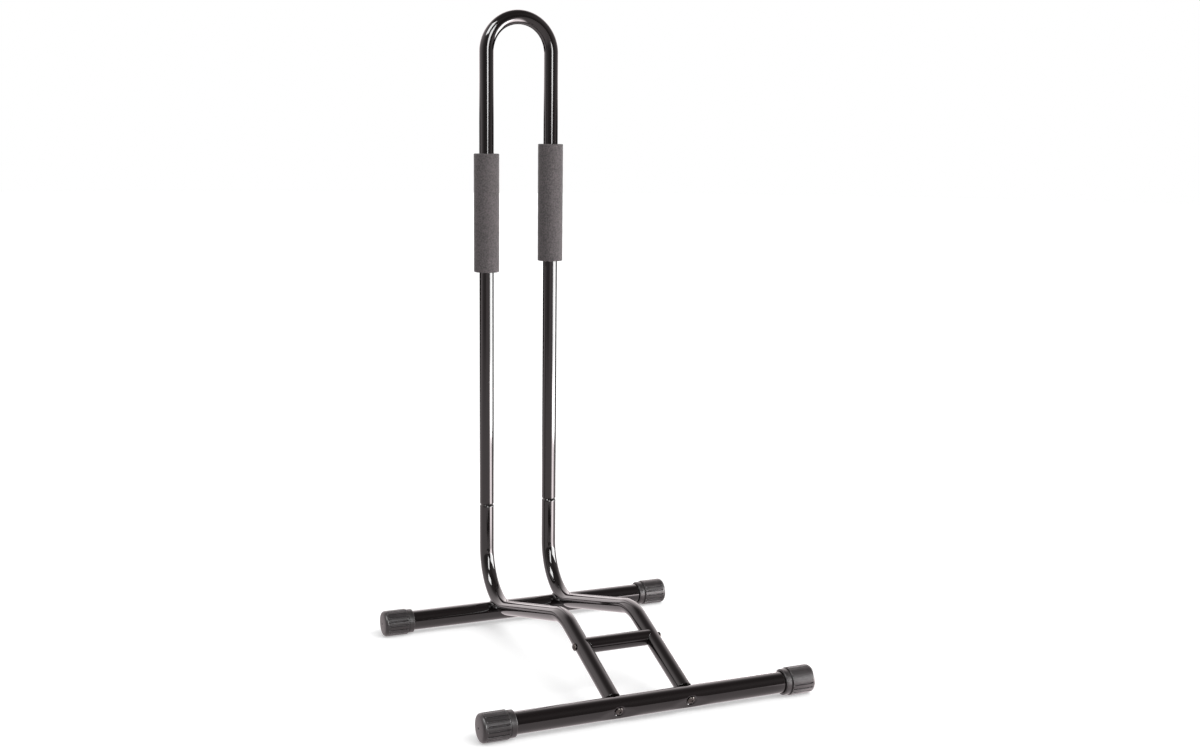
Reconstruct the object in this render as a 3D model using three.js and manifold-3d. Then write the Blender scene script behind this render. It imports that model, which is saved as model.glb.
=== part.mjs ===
// A floor bike rack: a tall hoop pushed onto two bent lower tubes, which stand on two capped feet.
// Millimetres, +Z up, +X right along the feet, -Y towards the front foot.
// The origin is on the floor, under the middle of the rack's outline.

import * as THREE from "three";
import { mergeVertices } from "three/addons/utils/BufferGeometryUtils.js";
import Module from "manifold-3d";

const wasm = await Module();
wasm.setup();

// ---------------------------------------------------------------- driving dimensions

const clearance = 0.3; // between pieces that touch

// Whole rack.
const overallHeight = 816;
const legSpacing = 91; // centre line to centre line of the two legs
const footSpacing = 390; // front foot's axis to rear foot's axis

// Round tube of the hoop, the lower tubes and the cross brace.
const tubeDiameter = 19;
const tubeWall = 1.5;

// Foot tubes.
const footDiameter = 25.4;
const footWall = 1.5;
const frontFootLength = 412;
const rearFootLength = 401;

// Route of the lower tubes, seen from the side.
const heelRadius = 66; // bend from the upright to the rising run, on its centre line
const humpRadius = 64; // bend from the rising run to the run that drops to the front foot
const saddleAngle = THREE.MathUtils.degToRad(20.5); // how far forward of upright the saddle faces
const riseAngle = THREE.MathUtils.degToRad(14);
const dropAngle = THREE.MathUtils.degToRad(22);
const endRise = 3; // the dropping run passes this far above the front foot's axis
const endCutRadius = 30; // hollow cut into the front end, which meets the front foot in its middle
const saddleDepth = 2.5; // how deep the lower tubes lie in the rear foot

// Push joint between the lower tubes and the hoop.
const shoulderHeight = 153.5; // floor to the shoulder of the lower tubes
const swageLength = 3.5;
const spigotLength = 45;
const spigotChamfer = 1.5;

// Foam sleeves on the hoop's legs.
const sleeveDiameter = 33.6;
const sleeveLength = 156;
const sleeveEdge = 1.2;
const leftSleeveHeight = 473; // floor to the sleeve's lower end
const rightSleeveHeight = 486;

// Cross brace.
const braceSetback = 96.5; // front foot's axis to the brace's axis

// End caps, measured along the foot from the mouth outwards.
const capDiameter = 33.2;
const capLength = 40.5;
const capEndWall = 4;
const capCorner = 4; // radius of the rim round the end face
const capDome = 0.8; // how far the end face bulges
const capDimpleRadius = 1.4;
const capDimpleDepth = 1.1;
const collarLength = 6.8;
const collarDiameter = 30.8;
const collarEdge = 1;
const neckDiameter = 29.2; // bottom of the groove between the collar and the body
const neckWidth = 1.4;
const bodyEdge = 0.9;
const fluteCount = 18;
const fluteWidth = 1.8;
const fluteDepth = 1.1;
const fluteInset = 0.8; // plain rim between the neck and the flutes
const fluteRunOut = 6; // from the flutes' outer end to the end face
const panelFlutes = 3; // flutes left out, for a plain panel
const soleDepth = 0.3; // flat worn on the side that rests on the floor

// Button head screws with a hexagon socket, and the inserts that they turn into.
const screwDiameter = 5;
const screwLength = 35;
const screwTip = 0.6;
const headDiameter = 9.5;
const headHeight = 2.75;
const headRim = 0.7;
const socketAcrossFlats = 3;
const socketDepth = 1.6;
const insertLength = 13;

// Pressed scallop that sinks each front screw into the front foot.
const scallopLength = 42;
const scallopDepth = 2.5;
const seatDepth = 3.4; // flat pocket for the screw's head, from the foot's surface
const seatMargin = 1.3; // room round the screw's head

// Weld beads where the lower tubes lie in the rear foot.
const weldSize = 2.6;

// How finely round shapes are cut.
const tubeSides = 20;
const boreSides = 12;
const footSides = 24;
const capSides = 2 * fluteCount;
const endCutSides = 72;
const sleeveSides = 24;
const rollerSides = 72;
const screwSides = 16;
const bendStep = THREE.MathUtils.degToRad(9);

// ---------------------------------------------------------------- derived dimensions

const tubeRadius = tubeDiameter / 2;
const boreRadius = tubeRadius - tubeWall;
const footRadius = footDiameter / 2;
const capRadius = capDiameter / 2;
const screwRadius = screwDiameter / 2;
const screwHoleRadius = screwRadius + clearance;
const footHeight = capRadius - soleDepth; // the feet's axes above the floor
const hoopFoot = shoulderHeight + swageLength + clearance; // the hoop's lower edge

// The heel bend hugs the rear foot: its centre lies on the saddle's normal.
const heelReach = heelRadius + footRadius + tubeRadius - saddleDepth;
const heelCentreY = footSpacing - heelReach * Math.sin(saddleAngle);
const heelCentreZ = footHeight + heelReach * Math.cos(saddleAngle);
const uprightY = heelCentreY + heelRadius;

// Where the straight runs would meet without their bends.
const heelCornerZ = heelCentreZ - heelRadius * (1 / Math.cos(riseAngle) + Math.tan(riseAngle));
const endZ = footHeight + endRise;
const humpCornerY =
  (heelCornerZ + uprightY * Math.tan(riseAngle) - endZ) / (Math.tan(riseAngle) + Math.tan(dropAngle));
const humpCornerZ = endZ + humpCornerY * Math.tan(dropAngle);
const braceZ = endZ + braceSetback * Math.tan(dropAngle);

// Direction in which the dropping run and the front screws point, and the spot on the run
// that lies nearest to the front foot's axis.
const dropDirection = new THREE.Vector3(0, -Math.cos(dropAngle), -Math.sin(dropAngle));
const endOffset = endRise * Math.cos(dropAngle);
const dropEnd = new THREE.Vector3(0, 0, endZ).addScaledVector(dropDirection, endRise * Math.sin(dropAngle));

// Where the front screws' axis leaves the front foot, counted from that spot.
const footSurface = Math.sqrt(footRadius ** 2 - endOffset ** 2);

const rackDepth = capRadius + uprightY + sleeveDiameter / 2;

// ---------------------------------------------------------------- shapes

function direction(from, to) {
  return to.clone().sub(from).normalize();
}

// A centre line of straight runs joined by round bends, one at each inner corner.
// It has one step along each run and even steps round each bend.
class BentLine extends THREE.Curve {
  constructor(corners, bendRadii) {
    super();
    this.stations = [];
    this.addStation(corners[0], direction(corners[0], corners[1]));
    bendRadii.forEach((radius, i) => this.addBend(corners[i], corners[i + 1], corners[i + 2], radius));
    const last = corners.length - 1;
    this.addStation(corners[last], direction(corners[last - 1], corners[last]));
  }

  addStation(point, tangent) {
    const previous = this.stations.at(-1);
    if (!previous || previous.point.distanceTo(point) > 1e-6) this.stations.push({ point, tangent });
  }

  addBend(before, corner, after, radius) {
    const start = direction(before, corner);
    const turn = start.angleTo(direction(corner, after));
    const axis = start.clone().cross(direction(corner, after)).normalize();
    const first = corner.clone().addScaledVector(start, -radius * Math.tan(turn / 2));
    const spoke = start.clone().cross(axis).multiplyScalar(radius);
    const centre = first.clone().sub(spoke);
    const steps = Math.ceil(turn / bendStep);
    for (let k = 0; k <= steps; k++) {
      const angle = (turn * k) / steps;
      const point = spoke.clone().applyAxisAngle(axis, angle).add(centre);
      this.addStation(point, start.clone().applyAxisAngle(axis, angle));
    }
  }

  get steps() {
    return this.stations.length - 1;
  }

  getUtoTmapping(u) {
    return u;
  }

  getPoint(t, target = new THREE.Vector3()) {
    return target.copy(this.stations[Math.round(t * this.steps)].point);
  }

  getTangent(t, target = new THREE.Vector3()) {
    return target.copy(this.stations[Math.round(t * this.steps)].tangent);
  }
}

function circle(radius, sides) {
  return Array.from({ length: sides }, (_, i) => {
    const angle = (2 * Math.PI * i) / sides;
    return new THREE.Vector2(radius * Math.cos(angle), radius * Math.sin(angle));
  });
}

// A circle whose flats, not its corners, lie on the radius, so that a round thing fits inside.
function roomyCircle(radius, sides) {
  return circle(radius / Math.cos(Math.PI / sides), sides);
}

function sweep(line, outer, bore) {
  const section = new THREE.Shape(circle(outer, tubeSides));
  if (bore) section.holes.push(new THREE.Path(roomyCircle(bore, boreSides)));
  return new THREE.ExtrudeGeometry(section, { steps: line.steps, extrudePath: line });
}

// A cylinder along X.
function bar(radius, length, sides) {
  return new THREE.CylinderGeometry(radius, radius, length, sides).rotateZ(Math.PI / 2);
}

// A cylinder along the front screws' axis, between two distances from the dropping run's end,
// counted towards the front.
function dropBar(radius, from, to, sides) {
  const rod = new THREE.CylinderGeometry(radius, radius, to - from, sides).translate(0, (from + to) / 2, 0);
  return placeOnDrop(rod);
}

function placeOnDrop(geometry) {
  const turn = new THREE.Quaternion().setFromUnitVectors(new THREE.Vector3(0, 1, 0), dropDirection);
  return geometry.applyQuaternion(turn).translate(dropEnd.x, dropEnd.y, dropEnd.z);
}

// ---------------------------------------------------------------- joining and cutting

function solid(geometry) {
  const bare = geometry.clone();
  bare.deleteAttribute("normal");
  bare.deleteAttribute("uv");
  const merged = mergeVertices(bare, 1e-4);
  return new wasm.Manifold(
    new wasm.Mesh({
      numProp: 3,
      vertProperties: merged.attributes.position.array,
      triVerts: new Uint32Array(merged.index.array),
    }),
  );
}

function cut(body, ...tools) {
  return tools.reduce((rest, tool) => rest.subtract(tool), body);
}

function geometryOf(body) {
  const { vertProperties, triVerts } = body.getMesh();
  const geometry = new THREE.BufferGeometry()
    .setAttribute("position", new THREE.BufferAttribute(vertProperties, 3))
    .setIndex(new THREE.BufferAttribute(triVerts, 1));
  geometry.computeVertexNormals();
  return geometry;
}

// ---------------------------------------------------------------- materials

const blackPaint = new THREE.MeshStandardMaterial({ color: 0x232122, roughness: 0.22, metalness: 0.1 });
const greyFoam = new THREE.MeshStandardMaterial({ color: 0x5a5556, roughness: 0.95, metalness: 0 });
const capPlastic = new THREE.MeshStandardMaterial({ color: 0x4a4648, roughness: 0.6, metalness: 0 });
const blackSteel = new THREE.MeshStandardMaterial({ color: 0x3a3534, roughness: 0.35, metalness: 0.9 });
const plainSteel = new THREE.MeshStandardMaterial({ color: 0x8c8a88, roughness: 0.4, metalness: 0.9 });

const rack = new THREE.Group();
rack.position.y = capRadius - rackDepth / 2; // the pieces' own y counts from the front foot's axis

function addPiece(name, geometry, material) {
  const mesh = new THREE.Mesh(geometry, material);
  mesh.name = name;
  rack.add(mesh);
  return mesh;
}

const sides = [
  { name: "left", sign: -1 },
  { name: "right", sign: 1 },
];

// ---------------------------------------------------------------- hoop and sleeves

function hoopGeometry() {
  const x = legSpacing / 2;
  const top = overallHeight - tubeRadius;
  const corners = [
    new THREE.Vector3(-x, uprightY, hoopFoot),
    new THREE.Vector3(-x, uprightY, top),
    new THREE.Vector3(x, uprightY, top),
    new THREE.Vector3(x, uprightY, hoopFoot),
  ];
  return sweep(new BentLine(corners, [x, x]), tubeRadius, boreRadius);
}

// A sleeve stands on its lower end, round its own Z axis.
function sleeveGeometry() {
  const bore = tubeRadius + clearance;
  const outer = sleeveDiameter / 2;
  const profile = new THREE.Path()
    .moveTo(bore, 0)
    .lineTo(outer - sleeveEdge, 0)
    .absarc(outer - sleeveEdge, sleeveEdge, sleeveEdge, -Math.PI / 2, 0)
    .absarc(outer - sleeveEdge, sleeveLength - sleeveEdge, sleeveEdge, 0, Math.PI / 2)
    .lineTo(bore, sleeveLength)
    .lineTo(bore, 0);
  return new THREE.LatheGeometry(profile.getPoints(1), sleeveSides).rotateX(Math.PI / 2);
}

addPiece("upper_hoop", hoopGeometry(), blackPaint);

const sleeve = sleeveGeometry();
const sleeveHeights = { left: leftSleeveHeight, right: rightSleeveHeight };
for (const { name, sign } of sides) {
  const mesh = addPiece(`foam_sleeve_${name}`, sleeve, greyFoam);
  mesh.position.set((sign * legSpacing) / 2, uprightY, sleeveHeights[name]);
}

// ---------------------------------------------------------------- lower tubes

// The centre line of a lower tube, from its shoulder down to the front foot.
const lowerLine = new BentLine(
  [
    new THREE.Vector3(0, uprightY, shoulderHeight),
    new THREE.Vector3(0, uprightY, heelCornerZ),
    new THREE.Vector3(0, humpCornerY, humpCornerZ),
    dropEnd,
  ],
  [heelRadius, humpRadius],
);

// The space that a lower tube fills, grown all round, in the plane x = 0.
function lowerEnvelope(growth) {
  return solid(sweep(lowerLine, tubeRadius + growth));
}

// The reduced end that the hoop pushes over. Its root lies inside the tube's wall, so the two join.
function spigot() {
  const outer = boreRadius - clearance;
  const bore = outer - tubeWall;
  const tip = swageLength + spigotLength;
  const rootBore = boreRadius + tubeWall / 4;
  const rootOuter = tubeRadius - tubeWall / 4;
  const profile = [
    [rootBore, -swageLength],
    [rootOuter, -swageLength],
    [rootOuter, 0],
    [outer, swageLength],
    [outer, tip - spigotChamfer],
    [outer - spigotChamfer / 2, tip],
    [bore, tip],
    [bore, swageLength],
    [rootBore, 0],
    [rootBore, -swageLength],
  ];
  const points = profile.map(([r, z]) => new THREE.Vector2(r, z));
  return solid(
    new THREE.LatheGeometry(points, tubeSides)
      .rotateX(Math.PI / 2)
      .translate(0, uprightY, shoulderHeight),
  );
}

const footSpace = bar(footRadius + clearance, 2 * legSpacing, footSides).translate(0, 0, footHeight);

// The hollow cut touches the front foot's surface where the dropping run's axis enters it.
const footEntry = dropEnd.clone().addScaledVector(dropDirection, -footSurface);
const entrySpoke = direction(new THREE.Vector3(0, 0, footHeight), footEntry);
const endCutCentre = footEntry.clone().addScaledVector(entrySpoke, -endCutRadius);
const endSpace = bar(endCutRadius + clearance, tubeDiameter + footDiameter, endCutSides)
  .translate(0, endCutCentre.y, endCutCentre.z);
const braceHole = bar(screwHoleRadius, 2 * tubeDiameter, screwSides).translate(0, braceSetback, braceZ);

const lowerTube = geometryOf(
  cut(solid(sweep(lowerLine, tubeRadius, boreRadius)).add(spigot()), solid(endSpace), solid(braceHole)),
);
for (const { name, sign } of sides) {
  addPiece(`lower_tube_${name}`, lowerTube, blackPaint).position.x = (sign * legSpacing) / 2;
}

// ---------------------------------------------------------------- feet

function atBothLegs(body) {
  const x = legSpacing / 2;
  return body.translate([-x, 0, 0]).add(body.translate([x, 0, 0]));
}

// A tube whose wall keeps its thickness where press tools have pushed it in.
function pressedFoot(length, y, toolsAt) {
  const outer = solid(bar(footRadius, length, footSides).translate(0, y, footHeight));
  const bore = solid(bar(footRadius - footWall, length + 2 * footWall, footSides).translate(0, y, footHeight));
  return cut(cut(outer, toolsAt(0)), cut(bore, toolsAt(footWall)));
}

function rearFoot() {
  return pressedFoot(rearFootLength, footSpacing, (growth) => atBothLegs(lowerEnvelope(clearance + growth)));
}

// The tool that presses a front scallop: a wide roller across the foot, and a round punch that
// leaves a flat seat for the screw's head.
function scallopTool(growth) {
  const radius = (scallopLength ** 2 / 4 + scallopDepth ** 2) / (2 * scallopDepth);
  const roller = new THREE.CylinderGeometry(radius + growth, radius + growth, 2 * footDiameter, rollerSides)
    .rotateX(Math.PI / 2)
    .translate(0, footSurface - scallopDepth + radius, 0);
  const punchRadius = headDiameter / 2 + seatMargin + growth;
  const punch = dropBar(punchRadius, footSurface - seatDepth - growth, footSurface + radius, screwSides);
  return solid(placeOnDrop(roller)).add(solid(punch));
}

function frontFoot() {
  const hole = dropBar(screwHoleRadius, -footDiameter, footDiameter, screwSides);
  const foot = pressedFoot(frontFootLength, 0, (growth) => atBothLegs(scallopTool(growth)));
  return cut(foot, atBothLegs(solid(hole)));
}

addPiece("rear_foot", geometryOf(rearFoot()), blackPaint);
addPiece("front_foot", geometryOf(frontFoot()), blackPaint);

// ---------------------------------------------------------------- weld beads

// A bead fills the corner between a lower tube and the rear foot, all round the saddle.
function weldBead() {
  const around = (growth) => solid(
    bar(footRadius + growth, 2 * tubeDiameter, footSides).translate(0, footSpacing, footHeight),
  );
  const corner = lowerEnvelope(weldSize).intersect(around(weldSize));
  return cut(corner, lowerEnvelope(clearance), around(clearance));
}

const weld = geometryOf(weldBead());
for (const { name, sign } of sides) {
  addPiece(`rear_weld_${name}`, weld, blackPaint).position.x = (sign * legSpacing) / 2;
}

// ---------------------------------------------------------------- cross brace

const legSpaces = atBothLegs(lowerEnvelope(clearance));

function crossBrace() {
  const outer = bar(tubeRadius, legSpacing, tubeSides);
  const bore = bar(boreRadius / Math.cos(Math.PI / boreSides), legSpacing + tubeWall, boreSides);
  const tube = cut(solid(outer), solid(bore)).translate([0, braceSetback, braceZ]);
  return cut(tube, legSpaces);
}

addPiece("cross_brace", geometryOf(crossBrace()), blackPaint);

// ---------------------------------------------------------------- inserts

// A threaded plug at each end of the brace, shaped to the lower tube that it bears on.
function braceInsert(sign) {
  const reach = legSpacing / 2;
  const length = insertLength + tubeRadius;
  const x = sign * (reach - length / 2);
  const plug = solid(bar(boreRadius - clearance, length, tubeSides).translate(x, braceSetback, braceZ));
  const thread = solid(bar(screwHoleRadius, 3 * length, screwSides).translate(x, braceSetback, braceZ));
  return cut(plug, thread, legSpaces);
}

// A threaded plug that stands a little out of the front end of a lower tube, shaped to the front foot.
function footInsert() {
  const length = insertLength + footSurface;
  const plug = solid(dropBar(boreRadius - clearance, -length, 0, tubeSides));
  const thread = solid(dropBar(screwHoleRadius, -2 * length, length, screwSides));
  return cut(plug, thread, solid(footSpace));
}

const footPlug = geometryOf(footInsert());
for (const { name, sign } of sides) {
  addPiece(`brace_insert_${name}`, geometryOf(braceInsert(sign)), plainSteel);
  addPiece(`foot_insert_${name}`, footPlug, blackSteel).position.x = (sign * legSpacing) / 2;
}

// ---------------------------------------------------------------- screws

// A screw points its head along its own +Y, from the seat at y = 0.
function screwGeometry() {
  const headRadius = headDiameter / 2;
  const crown = headHeight - headRim;
  const crownRadius = (headRadius ** 2 + crown ** 2) / (2 * crown);
  const crownStart = Math.asin(headRadius / crownRadius);
  const profile = [
    new THREE.Vector2(0, -screwLength),
    new THREE.Vector2(screwRadius - screwTip, -screwLength),
    new THREE.Vector2(screwRadius, screwTip - screwLength),
    new THREE.Vector2(screwRadius, 0),
    new THREE.Vector2(headRadius, 0),
  ];
  const crownSteps = 4;
  for (let k = crownSteps; k >= 0; k--) {
    const angle = (crownStart * k) / crownSteps;
    profile.push(
      new THREE.Vector2(crownRadius * Math.sin(angle), headHeight + crownRadius * (Math.cos(angle) - 1)),
    );
  }
  const socketRadius = socketAcrossFlats / Math.sqrt(3);
  const socket = new THREE.CylinderGeometry(socketRadius, socketRadius, 2 * socketDepth, 6);
  const body = solid(new THREE.LatheGeometry(profile, screwSides));
  return geometryOf(cut(body, solid(socket.translate(0, headHeight, 0))));
}

const screw = screwGeometry();
const alongY = new THREE.Vector3(0, 1, 0);
for (const { name, sign } of sides) {
  const x = (sign * legSpacing) / 2;

  const footScrew = addPiece(`foot_screw_${name}`, screw, blackSteel);
  footScrew.position.copy(dropEnd).addScaledVector(dropDirection, footSurface - seatDepth + clearance);
  footScrew.position.x = x;
  footScrew.quaternion.setFromUnitVectors(alongY, dropDirection);

  const braceScrew = addPiece(`brace_screw_${name}`, screw, blackSteel);
  braceScrew.position.set(x + sign * (tubeRadius + clearance), braceSetback, braceZ);
  braceScrew.quaternion.setFromUnitVectors(alongY, new THREE.Vector3(sign, 0, 0));
}

// ---------------------------------------------------------------- end caps

// Half of the cap's section, from the floor of its socket round to the middle of its end face.
// x is the radius and y runs outwards from the mouth.
function capProfile() {
  const socket = footRadius + clearance;
  const collar = collarDiameter / 2;
  const neck = neckDiameter / 2;
  const bodyStart = collarLength + neckWidth;
  const faceRadius = capRadius - capCorner;
  const faceEdge = capLength - capDome;
  const domeRadius = (faceRadius ** 2 + capDome ** 2) / (2 * capDome);
  const points = [
    [0, capLength - capEndWall],
    [socket, capLength - capEndWall],
    [socket, 0],
    [collar - collarEdge, 0],
    [collar, collarEdge],
    [collar, collarLength],
    [neck, collarLength],
    [neck, bodyStart],
    [capRadius - bodyEdge, bodyStart],
    [capRadius, bodyStart + bodyEdge],
  ];
  const cornerSteps = 3;
  for (let k = 0; k <= cornerSteps; k++) {
    const angle = ((Math.PI / 2) * k) / cornerSteps;
    points.push([faceRadius + capCorner * Math.cos(angle), faceEdge - capCorner * (1 - Math.sin(angle))]);
  }
  const dimpleEdge = capLength - domeRadius + Math.sqrt(domeRadius ** 2 - capDimpleRadius ** 2);
  points.push([capDimpleRadius, dimpleEdge], [0, capLength - capDimpleDepth]);
  return points.map(([r, along]) => new THREE.Vector2(r, along));
}

// The flutes, with some left out round the panel. panelTurn counts flutes from the underside.
function fluteCutter(panelTurn) {
  const start = collarLength + neckWidth + fluteInset;
  const end = capLength - fluteRunOut;
  const flute = new THREE.BoxGeometry(end - start, fluteWidth, 2 * fluteDepth)
    .translate((start + end) / 2, 0, -capRadius);
  const turns = Array.from({ length: fluteCount - panelFlutes }, (_, i) => panelTurn + panelFlutes + i + 0.5);
  return turns
    .map((turn) => solid(flute.clone().rotateX((2 * Math.PI * turn) / fluteCount)))
    .reduce((all, one) => all.add(one));
}

// A cap lies along its own +X, with its mouth at x = 0 and its flat sole downwards.
function capGeometry(panelTurn) {
  const body = solid(new THREE.LatheGeometry(capProfile(), capSides).rotateZ(-Math.PI / 2));
  const floor = new THREE.BoxGeometry(4 * capLength, capDiameter, capDiameter)
    .translate(0, 0, -footHeight - capDiameter / 2);
  return geometryOf(cut(body, fluteCutter(panelTurn), solid(floor)));
}

const feet = [
  { name: "front", y: 0, length: frontFootLength, panelTurns: { left: 12, right: 10 } },
  { name: "rear", y: footSpacing, length: rearFootLength, panelTurns: { left: 11, right: 8 } },
];
for (const foot of feet) {
  for (const { name, sign } of sides) {
    const cap = addPiece(`end_cap_${foot.name}_${name}`, capGeometry(foot.panelTurns[name]), capPlastic);
    const mouth = foot.length / 2 + clearance + capEndWall - capLength;
    cap.position.set(sign * mouth, foot.y, footHeight);
    cap.rotation.z = sign < 0 ? Math.PI : 0;
  }
}

const root = new THREE.Group();
root.add(rack);

export default root;
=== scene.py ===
# The looks of a floor bike rack: painted tubes, foam sleeves, moulded caps and screws, laid over
# the rack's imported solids, with a plain studio round it. Metres, +Z up, +X right along the feet.

import math
from functools import partial, wraps

import bpy
import numpy as np
from mathutils import Matrix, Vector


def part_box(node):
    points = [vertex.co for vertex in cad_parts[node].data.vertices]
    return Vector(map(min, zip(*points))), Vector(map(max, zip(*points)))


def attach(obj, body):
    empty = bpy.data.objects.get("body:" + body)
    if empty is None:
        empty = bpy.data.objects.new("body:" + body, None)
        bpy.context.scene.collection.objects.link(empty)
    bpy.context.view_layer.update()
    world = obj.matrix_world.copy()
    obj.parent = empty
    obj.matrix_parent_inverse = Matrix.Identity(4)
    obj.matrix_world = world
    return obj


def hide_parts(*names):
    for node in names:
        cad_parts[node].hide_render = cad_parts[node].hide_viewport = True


bl_info = {
    "name": "Floor Bike Rack",
    "version": (1, 0, 0),
    "blender": (4, 5, 0),
    "location": "View3D > Sidebar > Bike Rack",
    "description": "Dresses the packed solids of a floor bike rack and sets up a plain studio",
    "category": "Add Mesh",
}

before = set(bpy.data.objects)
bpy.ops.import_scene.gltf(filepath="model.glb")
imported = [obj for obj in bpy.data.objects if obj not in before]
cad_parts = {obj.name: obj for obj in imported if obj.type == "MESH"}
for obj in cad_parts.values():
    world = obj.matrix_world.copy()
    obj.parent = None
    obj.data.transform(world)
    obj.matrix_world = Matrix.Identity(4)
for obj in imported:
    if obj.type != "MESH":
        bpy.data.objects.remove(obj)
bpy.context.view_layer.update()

MM = 0.001
SIDES = {"left": -1, "right": 1}


# ---------------------------------------------------------------- sizes taken from the frame


def box_centre(node):
    """The middle of a node's box, in metres."""
    low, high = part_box(node)
    return (np.array(low) + np.array(high)) / 2


def box_size(node):
    """A node's extents along X, Y and Z, in metres."""
    low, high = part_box(node)
    return np.array(high) - np.array(low)


TUBE_DIAMETER = float(box_size("upper_hoop")[1])
LEG_DEPTH = float(box_centre("upper_hoop")[1])
LEG_SPACING = float(box_size("upper_hoop")[0]) - TUBE_DIAMETER
FOOT_DIAMETER = float(box_size("front_foot")[2])
SLEEVE_DIAMETER = float(box_size("foam_sleeve_left")[1])
CAP_DIAMETER = float(box_size("end_cap_front_left")[1])
CAP_LENGTH = float(box_size("end_cap_front_left")[0])


# ---------------------------------------------------------------- properties


def linear(hex_colour):
    """An sRGB hex colour as linear red, green, blue and 1: c / 12.92 up to 0.04045, and above it
    ((c + 0.055) / 1.055) ** 2.4."""
    code = int(hex_colour.lstrip("#"), 16)
    shares = [(code >> shift & 255) / 255 for shift in (16, 8, 0)]
    return [c / 12.92 if c <= 0.04045 else ((c + 0.055) / 1.055) ** 2.4 for c in shares] + [1.0]


def length_property(name, description, default):
    return bpy.props.FloatProperty(
        name=name,
        description=description,
        default=default,
        min=0.0,
        subtype="DISTANCE",
        unit="LENGTH",
    )


def angle_property(name, description, degrees):
    return bpy.props.FloatProperty(
        name=name,
        description=description,
        default=math.radians(degrees),
        subtype="ANGLE",
        unit="ROTATION",
    )


def colour_property(name, description, hex_colour):
    return bpy.props.FloatVectorProperty(
        name=name,
        description=description,
        default=linear(hex_colour),
        size=4,
        min=0.0,
        max=1.0,
        subtype="COLOR",
    )


def strength_property(name, description, default):
    return bpy.props.FloatProperty(name=name, description=description, default=default, min=0.0)


class RackTubes(bpy.types.PropertyGroup):
    """Sizes of the painted steel tubes."""

    tube_diameter: length_property("Tube", "Diameter of the hoop and lower tubes", TUBE_DIAMETER)
    wall: length_property("Wall", "Wall of every tube", 1.5 * MM)
    gap: length_property("Gap", "Room between pieces that touch", 0.3 * MM)
    leg_spacing: length_property("Leg spacing", "Centre to centre of the two legs", LEG_SPACING)
    tube_edge: length_property("Edge", "Rounding of a cut tube end", 0.35 * MM)
    flattening: bpy.props.FloatProperty(
        name="Flattening",
        description="How much a bend narrows the tube in the plane of the bend",
        default=0.03,
        min=0.0,
        max=0.1,
        subtype="FACTOR",
    )
    heel_radius: length_property("Heel bend", "Centre line radius of the heel bend", 66 * MM)
    hump_radius: length_property("Wide bend", "Centre line radius of the wide bend", 64 * MM)
    saddle_angle: angle_property("Saddle", "How far forward of upright the saddle faces", 20.5)
    rise_angle: angle_property("Rise", "Slope of the rising run", 14)
    drop_angle: angle_property("Drop", "Slope of the run to the front foot", 22)
    end_rise: length_property("End rise", "Height of that run over the front foot's axis", 3 * MM)
    end_cut_radius: length_property("End cut", "Radius of the front end's hollow cut", 30 * MM)
    saddle_depth: length_property("Saddle depth", "How deep the rear foot is pressed in", 2.5 * MM)
    swage_length: length_property("Swage", "Length of the narrowing to the spigot", 3.5 * MM)
    spigot_length: length_property("Spigot", "Length of the spigot inside the hoop", 45 * MM)
    foot_diameter: length_property("Foot tube", "Outer diameter of both feet", FOOT_DIAMETER)
    scallop_length: length_property("Scallop length", "Pressed hollow round a front screw", 42 * MM)
    scallop_depth: length_property("Scallop depth", "Depth of that hollow", 2.0 * MM)
    seat_depth: length_property("Seat depth", "Depth of the flat seat of a front screw", 3.4 * MM)
    seat_diameter: length_property("Seat", "Diameter of that seat", 13.6 * MM)
    weld_width: length_property("Weld", "Width of a weld bead", 4.2 * MM)
    weld_pitch: length_property("Weld ripple", "Distance between a bead's ripples", 2.4 * MM)


class RackFittings(bpy.types.PropertyGroup):
    """Sizes of the foam sleeves, screws and end caps."""

    sleeve_diameter: length_property("Sleeve", "Outer diameter of a foam sleeve", SLEEVE_DIAMETER)
    sleeve_edge: length_property("Sleeve edge", "Rounding of a foam sleeve's rim", 1.2 * MM)
    head_diameter: length_property("Screw head", "Diameter of a button head", 9.5 * MM)
    head_height: length_property("Head height", "Height of a button head", 2.75 * MM)
    socket_size: length_property("Socket", "Hexagon socket across its flats", 3 * MM)
    socket_depth: length_property("Socket depth", "Depth of the hexagon socket", 1.6 * MM)
    screw_diameter: length_property("Thread", "Diameter of a screw's thread", 5 * MM)
    thread_pitch: length_property("Pitch", "Pitch of a screw's thread", 0.8 * MM)
    screw_length: length_property("Screw length", "Length of a screw under its head", 35 * MM)
    cap_diameter: length_property("Cap", "Outer diameter of an end cap", CAP_DIAMETER)
    cap_length: length_property("Cap length", "Length of an end cap", CAP_LENGTH)
    collar_length: length_property("Collar", "Length of the collar at a cap's mouth", 6.8 * MM)
    collar_diameter: length_property("Collar width", "Outer diameter of the collar", 30.8 * MM)
    groove_length: length_property("Groove", "Length of the groove behind the collar", 1.4 * MM)
    groove_diameter: length_property("Groove width", "Diameter at the groove's floor", 29.2 * MM)
    cap_end: length_property("Cap end", "Thickness of a cap's end", 4 * MM)
    sole: length_property("Sole", "Depth of the flat that a cap stands on", 0.3 * MM)
    flute_width: length_property("Flute width", "Width of a cap's flutes", 1.8 * MM)
    flute_depth: length_property("Flute depth", "Depth of a cap's flutes", 1.4 * MM)
    flute_count: bpy.props.IntProperty(
        name="Flutes", description="Flutes that would go all round a cap", default=18, min=3
    )
    panel_flutes: bpy.props.IntProperty(
        name="Panel", description="Flutes left out for the plain panel", default=3, min=0
    )


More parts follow.
